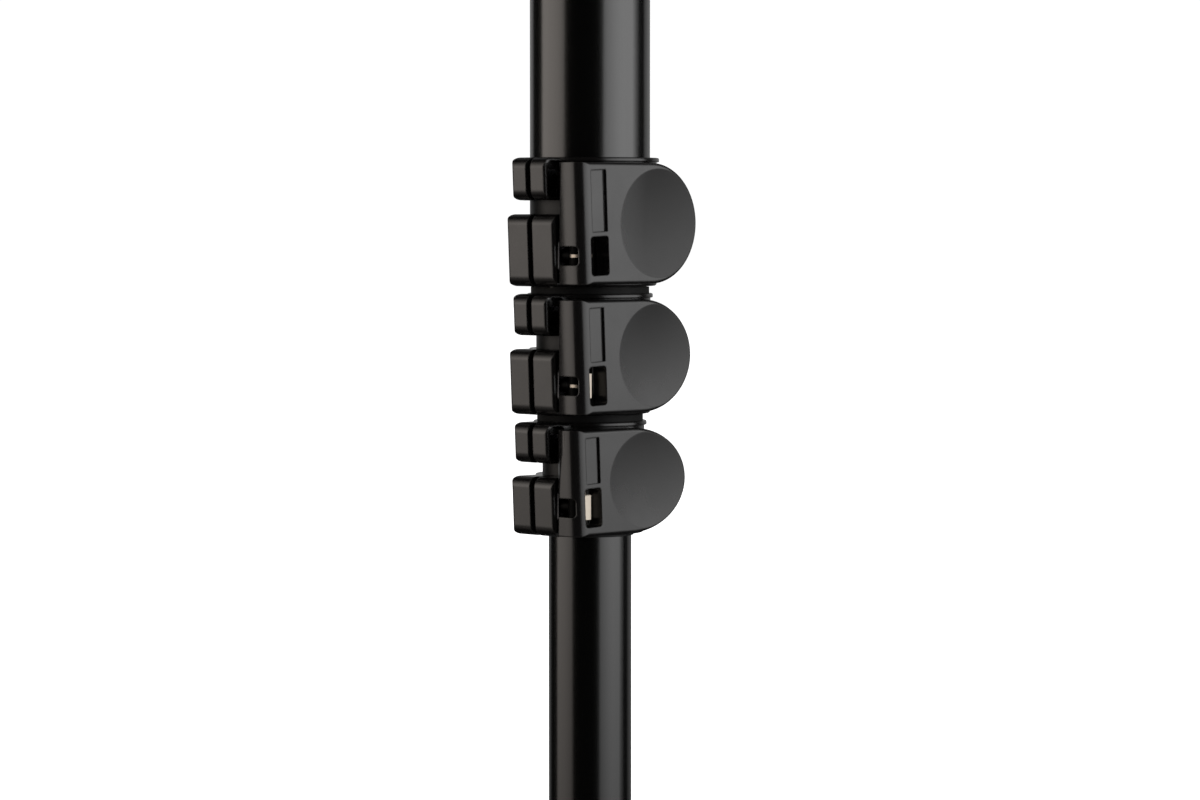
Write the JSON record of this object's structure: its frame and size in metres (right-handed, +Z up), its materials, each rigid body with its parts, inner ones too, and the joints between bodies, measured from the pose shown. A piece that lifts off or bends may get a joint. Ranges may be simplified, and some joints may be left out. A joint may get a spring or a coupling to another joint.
{
  "type": "camera monopod",
  "caption": "Telescoping camera support leg with cam lever locks around its nested tubes, a platform with a camera screw, a rubber grip and a rubber foot.",
  "frame": {"origin": "centre of the foot's flat bottom, on the axis of the tubes", "axes": "+Z up along the tubes, -Y through the split of the locks, +X towards the levers"},
  "size_m": [0.05, 0.0518, 0.6755],
  "materials": {
    "black anodised aluminium": "black anodised, semi-gloss",
    "black coated die casting": "fine black powder coat, satin",
    "black nylon": "moulded, matte",
    "black rubber": "moulded rubber, matte",
    "grip rubber": "moulded grip rubber, matte",
    "bright steel": "turned and zinc plated",
    "blackened steel": "black oxide"
  },
  "bodies": {
    "leg_top": {"tube_1": "black anodised aluminium", "collar_1": "black coated die casting", "liner_1": "black nylon", "clamp_screw_1": "blackened steel", "clamp_nut_1": "blackened steel", "eye_bolt_1": "bright steel", "tension_nut_1": "blackened steel", "wear_plate_1": "blackened steel", "platform": "black coated die casting", "platform_pad": "black rubber", "camera_screw": "bright steel", "set_screw": "blackened steel", "grip": "grip rubber", "grip_ring_top": "black coated die casting", "grip_ring_bottom": "black coated die casting"},
    "leg_second": {"tube_2": "black anodised aluminium", "guide_bush_2": "black nylon", "buffer_ring_2": "black rubber", "collar_2": "black coated die casting", "liner_2": "black nylon", "clamp_screw_2": "blackened steel", "clamp_nut_2": "blackened steel", "eye_bolt_2": "bright steel", "tension_nut_2": "blackened steel", "wear_plate_2": "blackened steel"},
    "leg_third": {"tube_3": "black anodised aluminium", "guide_bush_3": "black nylon", "buffer_ring_3": "black rubber", "collar_3": "black coated die casting", "liner_3": "black nylon", "clamp_screw_3": "blackened steel", "clamp_nut_3": "blackened steel", "eye_bolt_3": "bright steel", "tension_nut_3": "blackened steel", "wear_plate_3": "blackened steel"},
    "leg_lowest": {"tube_4": "black anodised aluminium", "guide_bush_4": "black nylon", "foot_plug": "black nylon", "rubber_foot": "black rubber"},
    "lever_top": {"lever_1": "black coated die casting", "hinge_pin_1": "bright steel"},
    "lever_second": {"lever_2": "black coated die casting", "hinge_pin_2": "bright steel"},
    "lever_third": {"lever_3": "black coated die casting", "hinge_pin_3": "bright steel"}
  },
  "joints": [
    {"name": "second_tube_slide", "type": "slide", "parent": "leg_top", "child": "leg_second", "axis": [0, 0, -1], "range_m": [0, 0.352]},
    {"name": "third_tube_slide", "type": "slide", "parent": "leg_second", "child": "leg_third", "axis": [0, 0, -1], "range_m": [0, 0.354]},
    {"name": "lowest_tube_slide", "type": "slide", "parent": "leg_third", "child": "leg_lowest", "axis": [0, 0, -1], "range_m": [-0.1, 0.275]},
    {"name": "lever_top_hinge", "type": "hinge", "parent": "leg_top", "child": "lever_top", "pos_m": [0.0171, -0.0209, 0.2132], "axis": [0, 0, -1], "range_deg": [0, 90]},
    {"name": "lever_second_hinge", "type": "hinge", "parent": "leg_second", "child": "lever_second", "pos_m": [0.0166, -0.02065, 0.1751], "axis": [0, 0, -1], "range_deg": [0, 90]},
    {"name": "lever_third_hinge", "type": "hinge", "parent": "leg_third", "child": "lever_third", "pos_m": [0.0161, -0.0204, 0.1393], "axis": [0, 0, -1], "range_deg": [0, 90]}
  ]
}
